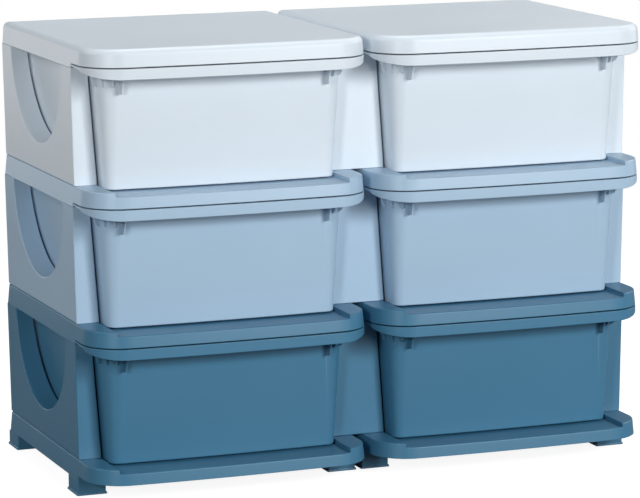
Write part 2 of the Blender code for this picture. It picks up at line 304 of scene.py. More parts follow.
@dataclass(frozen=True)
class BoardPlan:
    """Plan that every lid, shelf, base and grip shares: square behind, round and bowed in front."""

    half_width: float
    reach: float
    bow: float
    depth: float
    front_radius: float
    rear_radius: float
    notch_run: float = 0.0016
    rear_margin: float = 0.018
    front_steps: int = 16
    corner_steps: int = 20
    lip_steps: int = 5
    notch_steps: int = 8
    side_steps: int = 12
    rear_corner_steps: int = 8
    rear_steps: int = 12

    @property
    def flat(self) -> float:
        """Half the length of the front between its round corners."""
        return self.half_width - self.front_radius

    def bowed(self, x: float) -> float:
        """How far the front swells forward at an x."""
        return self.bow * (1 - (x / self.half_width) ** 2)

    def front(self, x: float, drop: float = 0.0) -> RimPoint:
        """Point of the front right of the middle, on the flat or on the round corner.

        Args:
            x: its distance from the middle.
            drop: how far the top edge is sunk there.

        Returns:
            The point, which an inset moves back.
        """
        if x > self.flat:
            angle = math.degrees(math.asin(min((x - self.flat) / self.front_radius, 1.0)))
            return self.corner(angle, drop)
        slope = 2 * self.bow * x / self.half_width ** 2
        length = math.hypot(slope, 1)
        return RimPoint(x, -self.reach - self.bowed(x), slope / length, -1 / length, drop)

    def corner(self, angle: float, drop: float = 0.0) -> RimPoint:
        """Point of the round front corner.

        Args:
            angle: place on the corner, from 0 degrees at the front to 90 at the side.
            drop: how far the top edge is sunk there.

        Returns:
            The point, which an inset moves back.
        """
        turn = math.radians(angle)
        x = self.flat + self.front_radius * math.sin(turn)
        y = self.front_radius * (1 - math.cos(turn)) - self.reach - self.bowed(x)
        return RimPoint(x, y, math.sin(turn), -math.cos(turn), drop)

    def side(self) -> list[RimPoint]:
        """Run along the right side, with points close together where the front notch ends.

        Returns:
            Points from the front corner to just before the rear one.
        """
        start = self.front_radius - self.reach
        ys = spread(start, -self.notch_run, self.lip_steps)[1:]
        ys += spread(-self.notch_run, 0, self.notch_steps)[1:]
        ys += spread(0, self.depth - self.rear_margin, self.side_steps)[1:]
        return [RimPoint(self.half_width, y, 1, 0) for y in ys]

    def rear(self) -> list[RimPoint]:
        """Run round the right rear corner and along the rear edge.

        Returns:
            Points from the end of the right side to the middle of the rear.
        """
        centre_x = self.half_width - self.rear_radius
        centre_y = self.depth - self.rear_radius
        points = []
        for angle in spread(0, 90, self.rear_corner_steps):
            nx, ny = math.cos(math.radians(angle)), math.sin(math.radians(angle))
            x, y = centre_x + self.rear_radius * nx, centre_y + self.rear_radius * ny
            points.append(RimPoint(x, y, nx, ny, radius=self.rear_radius, mitre=(1.0, 1.0)))
        edge = spread(centre_x, 0, self.rear_steps)[1:]
        return points + [RimPoint(x, self.depth, 0, 1) for x in edge]

    def half(self) -> list[RimPoint]:
        """Right half of the plan.

        Returns:
            Points from the middle of the front to the middle of the rear.
        """
        points = [self.front(x) for x in spread(0, self.flat, self.front_steps)]
        points += [self.corner(a) for a in spread(0, 90, self.corner_steps)[1:]]
        return points + self.side() + self.rear()

    def raised(self, y: float, amount: float) -> float:
        """Lift of the lower edge at a y, where it is cut back in front of the stiles."""
        return amount * eased(-y / self.notch_run)


def whole(half: Sequence[RimPoint]) -> list[RimPoint]:
    """Closed plan, counter-clockwise, made from its right half, whose own points come first."""
    return list(half) + [point.mirrored() for point in reversed(half[1:-1])]


def board_plan(inset: float = 0.0) -> BoardPlan:
    """Plan of the boards.

    Args:
        inset: how far it is drawn in all round.

    Returns:
        The plan.
    """
    return BoardPlan(
        half_width=LAYOUT.half_board - inset,
        reach=LAYOUT.lip_reach - inset,
        bow=LAYOUT.lip_bow,
        depth=LAYOUT.panel_depth - inset,
        front_radius=LAYOUT.front_corner - inset,
        rear_radius=LAYOUT.rear_corner - inset,
    )


@dataclass(frozen=True)
class Skirt:
    """Drafted skirt of a lid, shelf or base, cut back in front of the stiles."""

    height: float
    draft: float
    rim_round: float = 0.0005
    rim_steps: int = 4

    def ring(
        self,
        points: Sequence[RimPoint],
        inset: float,
        z: float,
        lifted: bool = False,
        sunk: bool = False,
    ) -> list[Point3]:
        """Ring of the skin, drawn in as the skirt leans.

        Args:
            points: plan of the piece.
            inset: how far the ring is drawn in from the outside.
            z: its height.
            lifted: whether it follows the cut-back of the lower edge.
            sunk: whether it follows the recess in the front lip.

        Returns:
            Points of the ring.
        """
        plan = board_plan()
        placed = []
        for point in points:
            level = z
            if lifted:
                level += plan.raised(point.y, LAYOUT.lip_raise)
            if sunk:
                level -= point.drop
            lean = min(level / self.height, 1.0) * self.draft
            placed.append((*point.inset(inset + lean), level))
        return placed

    def rim(self, points: Sequence[RimPoint]) -> list[list[Point3]]:
        """Rings round the lower edge.

        Args:
            points: plan of the piece.

        Returns:
            Rings from the inside of the edge to its outside.
        """
        edge = quarter(self.rim_round, self.rim_steps)
        levels = [(LAYOUT.wall - back, climb) for back, climb in reversed(edge)] + edge
        return [self.ring(points, inset, z, lifted=True) for inset, z in levels]


@dataclass(frozen=True)
class Look:
    """Where a piece belongs: its solid, the body it moves with and its plastic."""

    node: str
    body: str
    finish: "PlasticFinish"


class Piece:
    """A moulding that stands for one node of the solid model."""

    def dress(
        self, look: Look, mesh: bpy.types.Mesh, location: Point3, turn: float = 0.0
    ) -> None:
        """Put a copy of a mesh in the scene, dress it and tie it to its node and body.

        Args:
            look: node, body and finish of the piece.
            mesh: mesh of the piece about its own origin.
            location: place of that origin.
            turn: turn about the upright axis, in radians.
        """
        thing = bpy.data.objects.new(f"{look.node}_moulding", mesh.copy())
        thing.matrix_world = Matrix.Translation(location) @ Matrix.Rotation(turn, 4, "Z")
        bpy.context.scene.collection.objects.link(thing)
        thing.data.materials.clear()
        thing.data.materials.append(look.finish.material())
        normals = thing.modifiers.new("even_normals", "WEIGHTED_NORMAL")
        normals.keep_sharp = True
        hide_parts(look.node)
        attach(thing, look.body)
        LOG.info("%s: %d faces on %s", thing.name, len(thing.data.polygons), look.body)


@dataclass(frozen=True)
class Lid(Piece):
    """Flat lid with a wide round along its top edge, open underneath."""

    height: float = 0.0275
    edge: float = 0.008
    draft: float = 0.0015
    edge_steps: int = 8
    rim_steps: int = 3

    def build(self) -> bpy.types.Mesh:
        """Skin the lid from the middle of its underside, round its rim, to its top.

        Returns:
            The finished mesh.
        """
        shoulder = self.height - self.edge
        skirt = Skirt(shoulder, self.draft, rim_steps=self.rim_steps)
        points = whole(board_plan().half())
        inner = self.edge - LAYOUT.wall
        rings = []
        for back, climb in quarter(inner, self.edge_steps):
            rings.append(skirt.ring(points, LAYOUT.wall + back, shoulder + inner - climb))
        rings += skirt.rim(points)
        for back, climb in reversed(quarter(self.edge, self.edge_steps)):
            rings.append(skirt.ring(points, back, self.height - climb))
        return Moulding().stack(rings).finished("lid")


@dataclass(frozen=True)
class Board(Piece):
    """Shelf or base: a sunk deck between raised rims, a front lip and a drafted skirt."""

    skirt: Skirt = Skirt(LAYOUT.board_height, LAYOUT.board_draft)
    top_round: float = 0.0015
    step_round: float = 0.0011
    deck_round: float = 0.0015
    rear_inner_radius: float = 0.006
    steps: int = 4
    rim_corner_steps: int = 18

    def step_profile(self) -> list[Point2]:
        """Side of the recess as (outward, down) pairs, from the rim down to the deck."""
        crest = quarter(self.step_round, self.steps)
        return crest + [(-climb, LAYOUT.recess_depth - back) for back, climb in crest]

    def build(self) -> bpy.types.Mesh:
        """Skin the board: skirt, rims, recess and deck.

        Returns:
            The finished mesh.
        """
        plan = board_plan()
        profile = self.step_profile()
        edge = LAYOUT.opening_bottom
        sunk = spread(0, edge + profile[-1][0], plan.front_steps)[:-1]
        half = [plan.front(x, LAYOUT.recess_depth) for x in sunk]
        half += [plan.front(edge + out, down) for out, down in reversed(profile)]
        rim_start = len(half) - 1
        turned = math.degrees(math.asin((edge + profile[0][0] - plan.flat) / plan.front_radius))
        half += [plan.corner(a) for a in spread(turned, 90, self.rim_corner_steps)[1:]]
        half += plan.side()
        corner_start = len(half) - 1
        half += plan.rear()
        points = whole(half)
        count = len(points)
        top = LAYOUT.board_height
        under = top - LAYOUT.recess_depth - LAYOUT.deck
        rings = []
        for back, climb in quarter(self.deck_round, self.steps):
            rings.append(self.skirt.ring(points, LAYOUT.wall + back, under - climb))
        rings += self.skirt.rim(points)
        for back, climb in reversed(quarter(self.top_round, self.steps)):
            rings.append(self.skirt.ring(points, back, top - climb, sunk=True))
        moulding = Moulding()
        rows = [moulding.row(r) for r in rings]
        moulding.skin(rows)
        moulding.face(list(reversed(rows[0])))
        self.add_top(moulding, rows[-1], profile, rim_start, corner_start, count)
        return moulding.finished("board")

    def add_top(
        self,
        moulding: Moulding,
        crest: Sequence[bmesh.types.BMVert],
        profile: Sequence[Point2],
        rim_start: int,
        corner_start: int,
        count: int,
    ) -> None:
        """Close the board's top with its rims, the sides of the recess and the deck.

        Args:
            moulding: mesh under construction.
            crest: vertices of the skirt's top ring.
            profile: side of the recess, from the rim down.
            rim_start: place in the ring where the right rim begins.
            corner_start: place in the ring where the right rear corner begins.
            count: number of points in the ring.
        """
        rim_end = count - rim_start
        rear_y = LAYOUT.panel_depth - LAYOUT.rear_stop
        radius = self.rear_inner_radius
        middle = count // 2
        corner_steps = board_plan().rear_corner_steps + 1
        rows = [[crest[i] for i in range(rim_start, rim_end + 1)]]
        for level, (out, down) in enumerate(profile):
            inside = []
            for i in range(rim_start + 1, rim_end):
                mirrored = i > middle
                k = count - i if mirrored else i
                vert = crest[k]
                if k <= corner_start:
                    x, y = LAYOUT.opening_bottom + out, min(vert.co.y, rear_y - radius)
                elif k <= corner_start + corner_steps:
                    turn = math.radians(90 * (k - corner_start) / corner_steps)
                    x = LAYOUT.opening_bottom - radius + (radius + out) * math.cos(turn)
                    y = rear_y - radius + (radius + out) * math.sin(turn)
                else:
                    turned = corner_start + corner_steps
                    share = (k - turned) / (middle - turned)
                    x, y = (LAYOUT.opening_bottom - radius) * (1 - share), rear_y + out
                inside.append((-x if mirrored else x, y, LAYOUT.board_height - down))
            ends = crest[rim_start - level], crest[rim_end + level]
            rows.append([ends[0], *moulding.row(inside), ends[1]])
        moulding.skin(rows, closed=False)
        last = len(profile) - 1
        lip = [crest[i % count] for i in range(rim_end + last, count + rim_start - last + 1)]
        moulding.face(lip + rows[-1][1:-1])


@dataclass(frozen=True)
class SidePanel(Piece):
    """Outer side panel with a half-round hand hole, rounded along its uprights and the hole."""

    hole_radius: float = 0.109
    edge_round: float = 0.0015
    seam_share: float = 0.3
    foot_share: float = 0.9
    steps: int = 5
    hole_steps: int = 72
    foot_steps: int = 12
    upright_steps: int = 6

    def outline(self) -> list[tuple[Point2, Point2]]:
        """Outline of the panel and its hand hole.

        Returns:
            Places as (depth from mid depth, height), each with the way that an inset moves it.
        """
        half = LAYOUT.panel_depth / 2
        low = LAYOUT.seam
        high = LAYOUT.panel_height - LAYOUT.seam
        thin, foot = self.seam_share, self.foot_share
        points = [((y, low), (0.0, foot)) for y in spread(-half, half, self.foot_steps)]
        points[0] = ((-half, low), (1.0, foot))
        points[-1] = ((half, low), (-1.0, foot))
        uprights = spread(low, high, self.upright_steps)[1:-1]
        points += [((half, z), (-1.0, 0.0)) for z in uprights]
        points.append(((half, high), (-1.0, -thin)))
        radius = self.hole_radius
        for angle in spread(0, -180, self.hole_steps):
            turn = math.radians(angle)
            away = (math.cos(turn), math.sin(turn))
            place = (radius * away[0], high + radius * away[1])
            if angle in (0, -180):
                away = (away[0], -thin)
            points.append((place, away))
        points.append(((-half, high), (1.0, -thin)))
        return points + [((-half, z), (1.0, 0.0)) for z in reversed(uprights)]

    def ring(self, inset: float, depth: float, outer: bool) -> list[Point3]:
        """Ring of the left panel's skin.

        Args:
            inset: how far it is drawn in from the outline.
            depth: how far it lies under the panel's face.
            outer: whether that is the outer face, and not the inner one.

        Returns:
            Points of the ring.
        """
        foot, head = LAYOUT.board_draft - LAYOUT.half_board, -LAYOUT.half_board
        points = []
        for (y, z), (toward_y, toward_z) in self.outline():
            level = z + toward_z * inset
            if outer:
                x = mix(foot, head, level / LAYOUT.panel_height) + depth
            else:
                x = -LAYOUT.opening(level) - depth
            points.append((x, y + toward_y * inset, level))
        return points

    def build(self) -> bpy.types.Mesh:
        """Skin the left panel from its outer face, round its edges, to its inner face.

        Returns:
            The finished mesh.
        """
        edge = quarter(self.edge_round, self.steps)
        rings = [self.ring(back, climb, True) for back, climb in edge]
        rings += [self.ring(back, climb, False) for back, climb in reversed(edge)]
        return Moulding().stack(rings).finished("side_panel")


@dataclass(frozen=True)
class CentrePanel(Piece):
    """Panel between the two columns, rounded along its uprights."""

    edge_round: float = 0.0015
    seam_round: float = 0.0008
    steps: int = 5
    seam_steps: int = 2

    def ring(self, z: float, inset: float) -> list[Point3]:
        """Ring of the panel's skin.

        Args:
            z: its height.
            inset: how far it is drawn in from the panel's faces.

        Returns:
            Points of the ring.
        """
        half_x = LAYOUT.column_x - LAYOUT.opening(z) - inset
        half_y = LAYOUT.panel_depth / 2 - inset
        plan = rounded_rectangle(half_x, half_y, self.edge_round, self.steps)
        return [(x, y, z) for x, y in plan]

    def build(self) -> bpy.types.Mesh:
        """Skin the panel from its foot to its head.

        Returns:
            The finished mesh.
        """
        low, high = LAYOUT.seam, LAYOUT.panel_height - LAYOUT.seam
        seam = quarter(self.seam_round, self.seam_steps)
        rings = [self.ring(low + climb, back) for back, climb in seam]
        rings += [self.ring(high - climb, back) for back, climb in reversed(seam)]
        return Moulding().stack(rings).finished("centre_panel")


@dataclass(frozen=True)
class Foot(Piece):
    """Square foot with a small flange at the floor and a tenon inside the base."""

    width: float = 0.036
    depth: float = 0.041
    proud: float = 0.0032
    flange: float = 0.0013
    flange_height: float = 0.002
    corner: float = 0.0016
    edge: float = 0.0004
    lug_share: float = 1.1
    steps: int = 4
    edge_steps: int = 2

    def ring(self, grow_x: float, grow_y: float, z: float, lug: float = 0.0) -> list[Point3]:
        """Rounded rectangle grown from the post's plan, at a height.

        Args:
            grow_x: growth of each side, to left and right.
            grow_y: growth of each side, to front and rear.
            z: height.
            lug: how much higher its front strip stands.

        Returns:
            Points of the ring, counter-clockwise from the front left corner.
        """
        half_x, half_y = self.width / 2 + grow_x, self.depth / 2 + grow_y
        strip = self.corner * self.lug_share - half_y
        plan = rounded_rectangle(half_x, half_y, self.corner, self.steps)
        front = [(x, y, z + lug) for x, y in plan if y < 0]
        rear = [(x, y, z) for x, y in plan if y > 0]
        left = [(-half_x, strip, z), (-half_x, strip, z + lug)]
        right = [(half_x, strip, z + lug), (half_x, strip, z)]
        return left + front + right + rear

    def build(self, lug: float) -> bpy.types.Mesh:
        """Skin of the foot from the floor to the top of its tenon.

        Args:
            lug: how far the foot's front strip reaches up in front of the base's skirt.

        Returns:
            The finished mesh.
        """
        shoulder = LAYOUT.foot_height - LAYOUT.seam
        deck = LAYOUT.board_height - LAYOUT.recess_depth - LAYOUT.deck
        tenon = LAYOUT.wall + LAYOUT.board_draft + LAYOUT.seam
        tenon += LAYOUT.rear_corner * (1 - math.sqrt(0.5))
        edge = [(self.flange - back, climb) for back, climb in quarter(self.edge, self.edge_steps)]
        rings = [self.ring(grow, grow, climb) for grow, climb in edge]
        for grow, climb in reversed(edge):
            rings.append(self.ring(grow, grow, self.flange_height - climb))
        fillet = self.flange - self.edge
        for back, climb in quarter(fillet, self.steps):
            grow = fillet - climb
            rings.append(self.ring(grow, grow, self.flange_height + fillet - back))
        rings.append(self.ring(0, 0, shoulder - self.edge, lug))
        rings.append(self.ring(-self.edge, -self.edge, shoulder, lug))
        for z in (shoulder, LAYOUT.foot_height + deck - LAYOUT.seam):
            rings.append(self.ring(-tenon, -tenon - self.proud, z))
        return Moulding().stack(rings).finished("foot")


class Stretch(Enum):
    """Stretches of a drawer's plan, from the middle of its front to the middle of its rear."""

    FRONT = 0
    CORNER = 1
    WING = 2
    WALL = 3
    REAR_CORNER = 4
    REAR = 5


@dataclass(frozen=True)
class DrawerColumn:
    """One upright line round a drawer: its place on the tray and on the grip lip."""

    stretch: Stretch
    share: float
    grip: RimPoint | None
    height: float
    crest: Point2 | None = None
    mirror: bool = False


@dataclass(frozen=True)
class Rib:
    """Thin tapered rib under a drawer's grip, at an angle round the front corner."""

    angle: float
    depth: float
    drop: float
    inset: float = 0.0
    thickness: float = 0.0018
    taper: float = 0.6
    rise: float = 0.0025
    root: float = 0.001
    soft: float = 0.0004

    def slices(self) -> list[Point2]:
        """Slices through the rib's thickness, as (offset, draw-in) pairs with softened sides."""
        half, flat = self.thickness / 2, self.thickness / 2 - self.soft
        return [(-half, self.soft), (-flat, 0.0), (flat, 0.0), (half, self.soft)]

    def corners(self, skirt: float, plate: float, drawn_in: float) -> list[Point2]:
        """Corners of the rib as (height, reach) pairs.

        Args:
            skirt: height of the skirt's lower edge.
            plate: height of the plate's underside.
            drawn_in: how far this slice is drawn in from the rib's free edges.

        Returns:
            Corners from the root at the bottom to the root at the top.
        """
        low = skirt - self.drop + drawn_in
        foot, head = self.depth * self.taper - drawn_in, self.depth - drawn_in
        high = plate + self.root
        under = [(low, -self.root), (low, 0.0), (low + self.rise, foot)]
        return under + [(plate, head), (high, head), (high, -self.root)]


@dataclass(frozen=True)
class Runner:
    """Low strip under a drawer's floor, on which it slides along the deck."""

    height: float = 0.0015
    width: float = 0.012
    x: float = 0.110
    inset: float = 0.040
    corner: float = 0.004
    soft: float = 0.0004
    root: float = 0.001
    soft_steps: int = 2
    corner_steps: int = 4

    @property
    def bottom(self) -> float:
        """Underside of the strip, measured from the shelf's rims."""
        return LAYOUT.seam - LAYOUT.recess_depth

    def build(self, side: int, front: float, rear: float) -> bpy.types.Mesh:
        """Skin the strip from its underside up into the drawer's floor.

        Args:
            side: -1 for the left strip, 1 for the right one.
            front: front of the drawer's floor.
            rear: rear of the drawer's floor.

        Returns:
            The finished mesh.
        """
        half_y = (rear - front) / 2 - self.inset
        edge = quarter(self.soft, self.soft_steps)
        levels = [(back, self.bottom + climb) for back, climb in edge]
        levels.append((0.0, self.bottom + self.height + self.root))
        rings = []
        for back, z in levels:
            half_x = self.width / 2 - back
            plan = rounded_rectangle(half_x, half_y - back, self.corner, self.corner_steps)
            rings.append([(side * self.x + x, (front + rear) / 2 + y, z) for x, y in plan])
        return Moulding().stack(rings).finished("runner")


@dataclass(frozen=True)
class Drawer(Piece):
    """Drafted tray with a grip lip that runs out round its front corners, and gusset ribs below."""

    front: float = 0.028
    lean: float = 0.010
    bow: float = 0.0036
    corner_bottom: float = 0.012
    corner_top: float = 0.025
    rear_corner: float = 0.013
    base_round: float = 0.002
    inside_round: float = 0.005
    rear_gap: float = 0.002
    side_gap: float = 0.003
    grip_height: float = 0.0134
    grip_gap: float = 0.0016
    seat_gap: float = 0.0005
    plate: float = 0.002
    plate_fillet_part: int = 3
    end_height: float = 0.003
    skirt: float = 0.0022
    crest_round: float = 0.0008
    skirt_round: float = 0.0009
    wing_round: float = 0.003
    ribs: tuple["Rib", ...] = (
        Rib(angle=0.0, depth=0.018, drop=0.022, inset=0.001),
        Rib(angle=18.0, depth=0.009, drop=0.013),
        Rib(angle=46.0, depth=0.009, drop=0.013),
        Rib(angle=75.0, depth=0.009, drop=0.013),
    )
    runner: Runner = Runner()
    brim: float = 0.0006
    steps: int = 4
    front_steps: int = 20
    corner_steps: int = 20
    wing_steps: int = 5
    tip_steps: int = 5
    seat_steps: int = 4
    wall_steps: int = 12
    rear_corner_steps: int = 8
    rear_steps: int = 8

    @property
    def grip_rows(self) -> int:
        """Number of rows under the grip: three rounds, and as many again on the tray's wall."""
        return 4 * (self.steps + 1)

    @property
    def floor(self) -> float:
        """Underside of the tray, measured from the shelf's rims."""
        return self.runner.bottom + self.runner.height

    @property
    def top(self) -> float:
        """Top of the grip lip, measured from the shelf's rims."""
        return LAYOUT.panel_height + LAYOUT.lip_raise - self.grip_gap

    def half_width(self, z: float) -> float:
        """Half the tray's width at a height."""
        return LAYOUT.opening(z) - self.side_gap

    def radius(self, z: float) -> float:
        """Radius of the tray's front corners at a height."""
        return mix(self.corner_bottom, self.corner_top, z / LAYOUT.panel_height)

    def front_y(self, z: float) -> float:
        """Front of the tray's corners at a height."""
        return -self.front - self.lean * z / LAYOUT.panel_height

    def rear_y(self, z: float) -> float:
        """Rear of the tray at a height."""
        rear = LAYOUT.panel_depth - LAYOUT.rear_stop - self.rear_gap
        return rear - self.lean * (1 - z / LAYOUT.panel_height)

    def on_tray(self, column: DrawerColumn, z: float, inset: float = 0.0) -> Point3:
        """Place of a column on the tray's outside.

        Args:
            column: the upright line.
            z: height, measured from the shelf's rims.
            inset: how far it is drawn in from the outside.

        Returns:
            The place.
        """
        half, radius, behind = self.half_width(z), self.radius(z), self.rear_corner
        share, stretch = column.share, column.stretch
        turn = math.radians(90 * share)
        wing_end = -self.seat_gap - self.skirt
        if stretch is Stretch.FRONT:
            x, y = share * (half - radius), self.front_y(z) + inset
        elif stretch is Stretch.CORNER:
            x = half - radius + (radius - inset) * math.sin(turn)
            y = self.front_y(z) + radius - (radius - inset) * math.cos(turn)
        elif stretch is Stretch.WING:
            x, y = half - inset, mix(self.front_y(z) + radius, wing_end, share)
        elif stretch is Stretch.WALL:
            x, y = half - inset, mix(-self.seat_gap, self.rear_y(z) - behind, share)
        elif stretch is Stretch.REAR_CORNER:
            x = half - behind + (behind - inset) * math.cos(turn)
            y = self.rear_y(z) - behind + (behind - inset) * math.sin(turn)
        else:
            x, y = (half - behind) * (1 - share), self.rear_y(z) - inset
        if stretch in (Stretch.FRONT, Stretch.CORNER):
            y -= self.bow * (1 - (x / half) ** 2)
        return (-x if column.mirror else x, y, z)

    def skirt_height(self, angle: float) -> float:
        """Height of the grip's skirt at an angle round the corner."""
        return mix(self.grip_height, self.end_height, (angle / 90) ** 2)

    def columns(self) -> list[DrawerColumn]:
        """Upright lines of the drawer's right half.

        Returns:
            Lines from the middle of the front to the middle of the rear.
        """
        plan = board_plan(LAYOUT.seam)
        lines = []
        for share in spread(0, 1, self.front_steps):
            grip = plan.front(share * plan.flat)
            lines.append(DrawerColumn(Stretch.FRONT, share, grip, self.grip_height))
        for share in spread(0, 1, self.corner_steps)[1:]:
            grip = plan.corner(90 * share)
            height = self.skirt_height(90 * share)
            lines.append(DrawerColumn(Stretch.CORNER, share, grip, height))
        start = plan.front_radius - plan.reach
        end = -self.seat_gap - self.wing_round
        for share in spread(0, 1, self.wing_steps)[1:]:
            grip = RimPoint(plan.half_width, mix(start, end, share), 1, 0)
            height = mix(self.end_height, self.plate, share)
            lines.append(DrawerColumn(Stretch.WING, share, grip, height))
        centre = plan.half_width - self.wing_round
        for angle in spread(0, 90, self.tip_steps)[1:]:
            nx, ny = math.cos(math.radians(angle)), math.sin(math.radians(angle))
            grip = RimPoint(centre + self.wing_round * nx, end + self.wing_round * ny, nx, ny)
            lines.append(DrawerColumn(Stretch.WING, 1.0, grip, self.plate))
        wall = self.half_width(self.top)
        for x in spread(centre, wall, self.seat_steps)[1:-1]:
            grip = RimPoint(x, -self.seat_gap, 0, 1)
            lines.append(DrawerColumn(Stretch.WING, 1.0, grip, self.plate))
        joint = RimPoint(wall, -self.seat_gap, 0, 1)
        lines.append(DrawerColumn(Stretch.WING, 1.0, joint, self.plate, crest=(1, 1)))
        lines.append(DrawerColumn(Stretch.WALL, 0.0, None, self.plate, crest=(1, 1)))
        for stretch, steps in (
            (Stretch.WALL, self.wall_steps),
            (Stretch.REAR_CORNER, self.rear_corner_steps),
            (Stretch.REAR, self.rear_steps),
        ):
            shares = spread(0, 1, steps)[1:]
            lines += [DrawerColumn(stretch, share, None, self.plate) for share in shares]
        return lines

    def wall_normal(self, column: DrawerColumn) -> Point2:
        """Outward direction of the tray's wall behind the grip.

        Args:
            column: the upright line.

        Returns:
            The direction's x and y.
        """
        turn = math.radians(90 * column.share)
        if column.stretch is Stretch.REAR_CORNER:
            return (math.cos(turn), math.sin(turn))
        return (0, 1) if column.stretch is Stretch.REAR else (1, 0)

    def on_crest(self, column: DrawerColumn, z: float, inset: float) -> Point3:
        """Place on the outer top edge: of the grip lip, or of the tray's wall behind it.

        Args:
            column: the upright line.
            z: height, measured from the shelf's rims.
            inset: how far it is drawn in from the outside.

        Returns:
            The place.
        """
        sign = -1 if column.mirror else 1
        if column.grip is not None and column.crest is None:
            x, y = column.grip.inset(inset)
            return (sign * x, y, z)
        nx, ny = column.crest or self.wall_normal(column)
        x, y, _ = self.on_tray(DrawerColumn(column.stretch, column.share, None, 0.0), z)
        if column.crest:
            y = -self.seat_gap
        return (sign * (x - nx * inset), y - ny * inset, z)

    def under_grip(self, column: DrawerColumn) -> list[Point3]:
        """Run of a column round the grip's skirt and up to its plate.

        Args:
            column: the upright line.

        Returns:
            Places from the outside in.
        """
        plate_z = self.top - self.plate
        sign = -1 if column.mirror else 1
        if column.grip is None:
            return [self.on_tray(column, plate_z)] * self.grip_rows
        low = self.top - column.height
        outer = min(self.skirt_round, column.height - self.crest_round - LAYOUT.seam)
        below = column.height - self.plate
        inner = min(self.skirt_round, below / self.plate_fillet_part)
        fillet = quarter(inner, self.steps)
        levels = [(back, low + climb) for back, climb in reversed(quarter(outer, self.steps))]
        levels += [(self.skirt - back, low + climb) for back, climb in fillet]
        levels += [(self.skirt + climb, plate_z - back) for back, climb in fillet]
        points = []
        for inset, z in levels:
            x, y = column.grip.inset(inset)
            points.append((sign * (self.half_width(z) if column.crest else x), y, z))
        return points + [self.on_tray(column, plate_z)] * (self.steps + 1)

    def rows(self) -> list[list[Point3]]:
        """Rings of the drawer.

        Returns:
            Rings from its inside floor, over the grip, to its underside.
        """
        half = self.columns()
        loop = half + [replace(column, mirror=True) for column in reversed(half[1:-1])]
        rings = []
        bed = self.floor + LAYOUT.wall
        for back, climb in quarter(self.inside_round, self.steps):
            rings.append([self.on_tray(c, bed + climb, LAYOUT.wall + back) for c in loop])
        for back, climb in reversed(quarter(self.brim, self.steps)):
            rings.append([self.on_tray(c, self.top - climb, LAYOUT.wall - back) for c in loop])
        for back, climb in quarter(self.crest_round, self.steps):
            rings.append([self.on_crest(c, self.top - climb, back) for c in loop])
        under = [self.under_grip(c) for c in loop]
        rings += [[points[k] for points in under] for k in range(len(under[0]))]
        for back, climb in reversed(quarter(self.base_round, self.steps)):
            rings.append([self.on_tray(c, self.floor + climb, back) for c in loop])
        return rings

    def build_rib(self, side: int, rib: Rib) -> bpy.types.Mesh:
        """Skin a rib on a front corner of the tray.

        Args:
            side: -1 for the left corner, 1 for the right one.
            rib: the rib's place and size.

        Returns:
            The finished mesh.
        """
        turn = math.radians(rib.angle)
        outward = (side * math.sin(turn), -math.cos(turn))
        rings = []
        for offset, drawn_in in rib.slices():
            ring = []
            corners = rib.corners(self.top - self.grip_height, self.top - self.plate, drawn_in)
            for height, reach in corners:
                radius, width = self.radius(height), self.half_width(height)
                x = side * (width - radius - rib.inset)
                y = self.front_y(height) + radius
                y -= self.bow * (1 - (x / width) ** 2) * math.cos(turn)
                x += outward[0] * (radius + reach) - outward[1] * offset
                y += outward[1] * (radius + reach) + outward[0] * offset
                ring.append((x, y, height))
            rings.append(ring)
        return Moulding().stack(rings).finished("rib")

    def build(self) -> bpy.types.Mesh:
        """Skin the drawer and join its ribs and runners on.

        Returns:
            The finished mesh.
        """
        shell = Moulding().stack(self.rows()).finished("drawer_tray")
        tray = bpy.data.objects.new("drawer_tray", shell)
        bpy.context.scene.collection.objects.link(tray)
        joined = []
        for column in Column:
            joined += [self.build_rib(column.value, rib) for rib in self.ribs]
            joined.append(self.runner.build(column.value, self.front_y(0), self.rear_y(0)))
        tools = [bpy.data.objects.new(f"joined_{i}", mesh) for i, mesh in enumerate(joined)]
        for tool in tools:
            bpy.context.scene.collection.objects.link(tool)
            union = tray.modifiers.new(tool.name, "BOOLEAN")
            union.operation = "UNION"
            union.solver = "EXACT"
            union.object = tool
        graph = bpy.context.evaluated_depsgraph_get()
        drawer = bpy.data.meshes.new_from_object(tray.evaluated_get(graph))
        for thing in [tray, *tools]:
            bpy.data.objects.remove(thing, do_unlink=True)
        return shaded(drawer)


class Socket:
    """Output of a shader node; Python sums on it add Math nodes."""

    def __init__(self, graph: "ShaderGraph", output: bpy.types.NodeSocket) -> None:
        """Wrap an output socket of a graph."""
        self.graph = graph
        self.output = output

    def _math(self, operation: str, first: Any, second: Any) -> "Socket":
        """Math node on two values."""
        return self.graph.node("ShaderNodeMath", {"operation": operation}, {0: first, 1: second})

    def __add__(self, other: Any) -> "Socket":
        """Sum of two values."""
        return self._math("ADD", self, other)

    def __radd__(self, other: Any) -> "Socket":
        """Sum of two values."""
        return self._math("ADD", other, self)

    def __sub__(self, other: Any) -> "Socket":
        """Difference of two values."""
        return self._math("SUBTRACT", self, other)

    def __mul__(self, other: Any) -> "Socket":
        """Product of two values."""
        return self._math("MULTIPLY", self, other)


